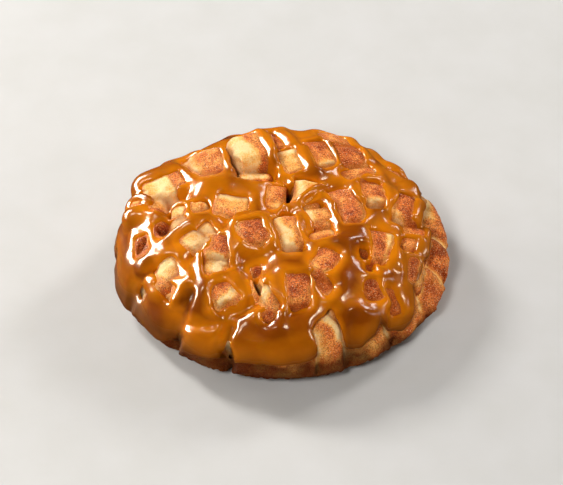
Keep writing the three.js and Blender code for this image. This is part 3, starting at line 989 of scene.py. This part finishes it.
def grainMask(tree, scale, low, high):
    n = node(tree, "ShaderNodeGroup", node_tree=grain)
    n.inputs["Scale"].default_value = scale
    n.inputs["Low"].default_value = low
    n.inputs["High"].default_value = high
    return n.outputs["Mask"]


def srgb(r, g, b):
    # a screen colour as the shaders count it
    values = [((c / 255 + 0.055) / 1.055) ** 2.4 if c > 10 else c / 255 / 12.92 for c in (r, g, b)]
    return (*values, 1)


def mixColour(tree, factor, a, b):
    n = node(tree, "ShaderNodeMix", data_type="RGBA")
    for socket, value in (("Factor_Float", factor), ("A_Color", a), ("B_Color", b)):
        target = next(s for s in n.inputs if s.identifier == socket)
        if isinstance(value, (tuple, float, int)):
            target.default_value = value
        else:
            link(tree, value, target)
    return next(s for s in n.outputs if s.identifier == "Result_Color")


def calculate(tree, kind, a, b):
    n = node(tree, "ShaderNodeMath", operation=kind)
    for k, value in enumerate((a, b)):
        if isinstance(value, (float, int)):
            n.inputs[k].default_value = value
        else:
            link(tree, value, n.inputs[k])
    return n.outputs[0]


def scaled(tree, value, factor):
    return calculate(tree, "MULTIPLY", value, factor)


def attribute(tree, name):
    return node(tree, "ShaderNodeAttribute", attribute_name=name).outputs["Fac"]


def swayed(tree, value, mask, amount):
    # a value moved up and down by a mask
    sway = scaled(tree, calculate(tree, "SUBTRACT", mask, 0.5), amount)
    return calculate(tree, "ADD", value, sway)


def newMaterial(name):
    material = bpy.data.materials.new(name)
    material.use_nodes = True
    return material, material.node_tree, material.node_tree.nodes["Principled BSDF"]


def setSoftness(shader, look):
    # a weak gleam, and light that goes a little way in
    shader.inputs["Specular IOR Level"].default_value = look["specular"]
    shader.inputs["Subsurface Weight"].default_value = look["subsurface"]
    shader.inputs["Subsurface Radius"].default_value = look["subsurfaceRadius"]


def addBump(tree, shader, height, strength, distance):
    bump = node(tree, "ShaderNodeBump")
    bump.inputs["Strength"].default_value = strength
    bump.inputs["Distance"].default_value = distance
    link(tree, height, bump.inputs["Height"])
    link(tree, bump.outputs["Normal"], shader.inputs["Normal"])


# A grain is its scale, where its mask begins and where it is full.
crustLook = {
    "tones": [(0.0, srgb(254, 217, 154)), (0.3, srgb(254, 186, 94)), (0.55, srgb(242, 150, 70)),
              (0.8, srgb(214, 104, 46)), (1.0, srgb(140, 52, 20))],
    "patchGrain": (120, 0.3, 0.7),
    "patches": 0.5,  # how far the browning sways from patch to patch
    "fineGrain": (1100, 0.35, 0.65),
    "fine": 0.3,
    "cinnamon": srgb(124, 46, 20),
    "cinnamonGrain": (1000, 0.54, 0.61),
    "cinnamonShare": 1.0,
    "sugar": srgb(252, 204, 140),
    "sugarGrain": (1700, 0.58, 0.66),
    "sugarShare": 0.45,
    # painted shade in the creases between pieces and in the blisters
    "crease": srgb(160, 78, 18),
    "creaseShare": 0.6,
    "syrup": srgb(150, 70, 14),
    "syrupShare": 0.55,
    "syrupShine": 0.4,
    # the dark-baked foot band, partly painted shade, and painted shade inside the clefts
    "foot": srgb(60, 20, 4),
    "footShare": 0.85,
    "roughness": 0.72,
    "specular": 0.03,
    "subsurface": 0.2,
    "subsurfaceRadius": (0.003, 0.0015, 0.0007),
    "sugarBump": 0.6,
    "bump": 0.6,
    "bumpDepth": 0.0006,
}


def crustMaterial():
    material, tree, shader = newMaterial("cinnamon_crust")
    fine = grainMask(tree, *crustLook["fineGrain"])
    patches = grainMask(tree, *crustLook["patchGrain"])
    tone = swayed(tree, attribute(tree, "browning"), patches, crustLook["patches"])
    tone = swayed(tree, tone, fine, crustLook["fine"])
    ramp = node(tree, "ShaderNodeValToRGB")
    stops = ramp.color_ramp.elements
    while len(stops) < len(crustLook["tones"]):
        stops.new(0.5)
    for stop, (position, colour) in zip(stops, crustLook["tones"]):
        stop.position = position
        stop.color = colour
    link(tree, tone, ramp.inputs["Fac"])
    colour = ramp.outputs["Color"]
    sugar = grainMask(tree, *crustLook["sugarGrain"])
    cinnamon = grainMask(tree, *crustLook["cinnamonGrain"])
    wet = attribute(tree, "wet")
    # painted shade where the dough is not open: creases and blisters
    creaseShade = calculate(tree, "SUBTRACT", 1.0, attribute(tree, "unshaded"))
    dusted = scaled(tree, attribute(tree, "browning"), crustLook["cinnamonShare"])
    colour = mixColour(tree, calculate(tree, "MULTIPLY", cinnamon, dusted), colour, crustLook["cinnamon"])
    # sugar and syrup are the crust's own; crease is painted shade; foot is dark-baked crust, partly
    # painted shade
    layers = {"sugar": sugar, "crease": creaseShade, "syrup": wet, "foot": attribute(tree, "foot")}
    for layer, mask in layers.items():
        colour = mixColour(tree, scaled(tree, mask, crustLook[layer + "Share"]), colour, crustLook[layer])
    link(tree, colour, shader.inputs["Base Color"])
    shine = scaled(tree, wet, crustLook["syrupShine"])
    link(tree, calculate(tree, "SUBTRACT", crustLook["roughness"], shine), shader.inputs["Roughness"])
    setSoftness(shader, crustLook)
    height = calculate(tree, "ADD", fine, scaled(tree, sugar, crustLook["sugarBump"]))
    addBump(tree, shader, height, crustLook["bump"], crustLook["bumpDepth"])
    return material


sauceLook = {
    "thin": srgb(203, 114, 5),
    # deep sauce, also used as painted shade in creases and furrows
    "thickAndShaded": srgb(134, 62, 1),
    # painted shade low on the side, partly dark crust through thin sauce, and painted shade in furrows
    "low": srgb(72, 29, 1),
    "lowShare": 0.8,
    "cloudGrain": (45, 0.3, 0.7),
    "clouds": 0.5,
    "roughness": 0.19,
    "dullLow": 0.12,
    "specular": 0.22,
    "subsurface": 0.3,
    "subsurfaceRadius": (0.005, 0.0022, 0.0006),
    "waveGrain": (160, 0.2, 0.8),
    "bump": 0.08,
    "bumpDepth": 0.0006,
}


def sauceMaterial():
    material, tree, shader = newMaterial("caramel_sauce")
    low = attribute(tree, "low")
    clouds = grainMask(tree, *sauceLook["cloudGrain"])
    # thin to thick colour, the thick end also painted shade in creases and furrows
    depth = swayed(tree, attribute(tree, "depth"), clouds, sauceLook["clouds"])
    colour = mixColour(tree, depth, sauceLook["thin"], sauceLook["thickAndShaded"])
    # darker low down: painted shade, partly dark crust through thin sauce
    colour = mixColour(tree, scaled(tree, low, sauceLook["lowShare"]), colour, sauceLook["low"])
    link(tree, colour, shader.inputs["Base Color"])
    dull = scaled(tree, low, sauceLook["dullLow"])
    link(tree, calculate(tree, "ADD", sauceLook["roughness"], dull), shader.inputs["Roughness"])
    setSoftness(shader, sauceLook)
    waves = grainMask(tree, *sauceLook["waveGrain"])
    addBump(tree, shader, waves, sauceLook["bump"], sauceLook["bumpDepth"])
    return material


grainLook = {
    "sugar_crystals": {"light": srgb(250, 204, 142), "dark": srgb(230, 156, 88), "roughness": 0.4},
    "cinnamon_specks": {"light": srgb(132, 54, 20), "dark": srgb(184, 92, 38), "roughness": 0.8},
}


def grainMaterial(name):
    material, tree, shader = newMaterial(name)
    look = grainLook[name]
    patches = grainMask(tree, 700, 0.35, 0.65)
    link(tree, mixColour(tree, patches, look["light"], look["dark"]), shader.inputs["Base Color"])
    shader.inputs["Roughness"].default_value = look["roughness"]
    return material


# Stage.
studio = {
    "elevation": 42.0,
    "distance": 1.931,
    "aim": (0, 0, 0.0302),
    "lens": 200.0,
    "sensor": 36,
    "sight": 50,  # metres the camera sees
    "floor": srgb(194, 192, 189),
    "floorShade": srgb(190, 188, 184),
    "floorGrain": (30, 0.3, 0.7),
    "floorHalf": 3.0,
    "floorRoughness": 0.8,
    "floorSpecular": 0.1,
    "sky": srgb(250, 236, 216),
    "skyStrength": 0.07,
}
# Each soft box: place, size, watts and whether it is mirrored in what shines.
softboxes = {
    "left": ((-0.95, 0.75, 1.05), (0.32, 0.42), 20, True),
    "leftLow": ((-1.3, 0.7, 0.3), (0.4, 0.35), 7, False),
    "right": ((1.0, 0.85, 0.9), (0.35, 0.5), 13, True),
    "rightLow": ((1.3, -0.1, 0.4), (0.35, 0.3), 3, True),
    "front": ((-0.35, -1.1, 1.15), (0.3, 0.3), 16, False),
}
# Cards that light nothing and are only mirrored: place, size and watts.
shineColour = (1.0, 0.9, 0.7)
cards = {
    "leftCard": ((-1.15, 0.75, 0.75), (0.45, 0.55), 110),
    "leftSideCard": ((-1.35, 0.25, 0.48), (0.62, 0.42), 120),
    "leftLowCard": ((-1.4, 0.62, 0.32), (0.6, 0.4), 110),
    "rightCard": ((0.95, -0.3, 0.95), (0.26, 0.26), 14),
    "frontCard": ((-0.6, -0.3, 1.2), (0.22, 0.22), 9),
}


def makeCamera():
    data = bpy.data.cameras.new("camera")
    data.lens = studio["lens"]
    data.sensor_width = studio["sensor"]
    data.clip_end = studio["sight"]
    camera = bpy.data.objects.new("camera", data)
    lift = math.radians(studio["elevation"])
    back = Vector((0, -math.cos(lift), math.sin(lift)))
    camera.location = Vector(studio["aim"]) + back * studio["distance"]
    camera.rotation_euler = (-back).to_track_quat("-Z", "Y").to_euler()
    bpy.context.scene.collection.objects.link(camera)
    bpy.context.scene.camera = camera


def makeSoftbox(name, place, size, watts, shines=True, shineOnly=False):
    data = bpy.data.lights.new(name, "AREA")
    data.shape = "RECTANGLE"
    data.size, data.size_y = size
    data.energy = watts
    light = bpy.data.objects.new(name, data)
    light.location = place
    light.visible_glossy = shines
    light.visible_diffuse = not shineOnly
    if shineOnly:
        data.color = shineColour
    light.rotation_euler = (Vector(studio["aim"]) - Vector(place)).to_track_quat("-Z", "Y").to_euler()
    bpy.context.scene.collection.objects.link(light)


def makeFloor():
    half = studio["floorHalf"]
    mesh = bpy.data.meshes.new("floor")
    corners = [(-half, -half, 0), (half, -half, 0), (half, half, 0), (-half, half, 0)]
    mesh.from_pydata(corners, [], [(0, 1, 2, 3)])
    floor = bpy.data.objects.new("floor", mesh)
    bpy.context.scene.collection.objects.link(floor)
    floor.visible_glossy = False  # the sauce doesn't mirror it
    material, tree, shader = newMaterial("studio_floor")
    patches = grainMask(tree, *studio["floorGrain"])
    colour = mixColour(tree, patches, studio["floor"], studio["floorShade"])
    link(tree, colour, shader.inputs["Base Color"])
    shader.inputs["Roughness"].default_value = studio["floorRoughness"]
    shader.inputs["Specular IOR Level"].default_value = studio["floorSpecular"]
    mesh.materials.append(material)


def makeWorld():
    world = bpy.data.worlds.new("studio")
    world.use_nodes = True
    background = world.node_tree.nodes["Background"]
    background.inputs["Color"].default_value = studio["sky"]
    background.inputs["Strength"].default_value = studio["skyStrength"]
    bpy.context.scene.world = world


def dress(piece, material):
    piece.data.materials.clear()
    piece.data.materials.append(material)
    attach(piece, "root")


makeCamera()
makeWorld()
makeFloor()
for name, row in softboxes.items():
    makeSoftbox(name, *row)
for name, row in cards.items():
    makeSoftbox(name, *row, shineOnly=True)
bpy.context.scene.view_settings.view_transform = "Standard"
print("stage set")

tinInside = tinDistance(gridPoints)
foldRise = foldHeight(gridPoints)
pieceField = doughDistance(dough["crease"], margin=5) - foldRise
pieceField = keepBoth(pieceField, -cleftDistance(gridPoints), dough["cleftRound"])
loafDough, sugared = makeDough(keepBoth(pieceField, tinInside, dough["tinRound"]))
dress(loafDough, crustMaterial())
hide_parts("loaf")

sauceLevel = keepBoth(doughDistance(poolBlend(), margin=12) - foldRise, tinInside, sauce["tinRound"])
dress(makeSauce(sauceLevel), sauceMaterial())

for name in grains:
    dress(makeGrains(name, sugared), grainMaterial(name))
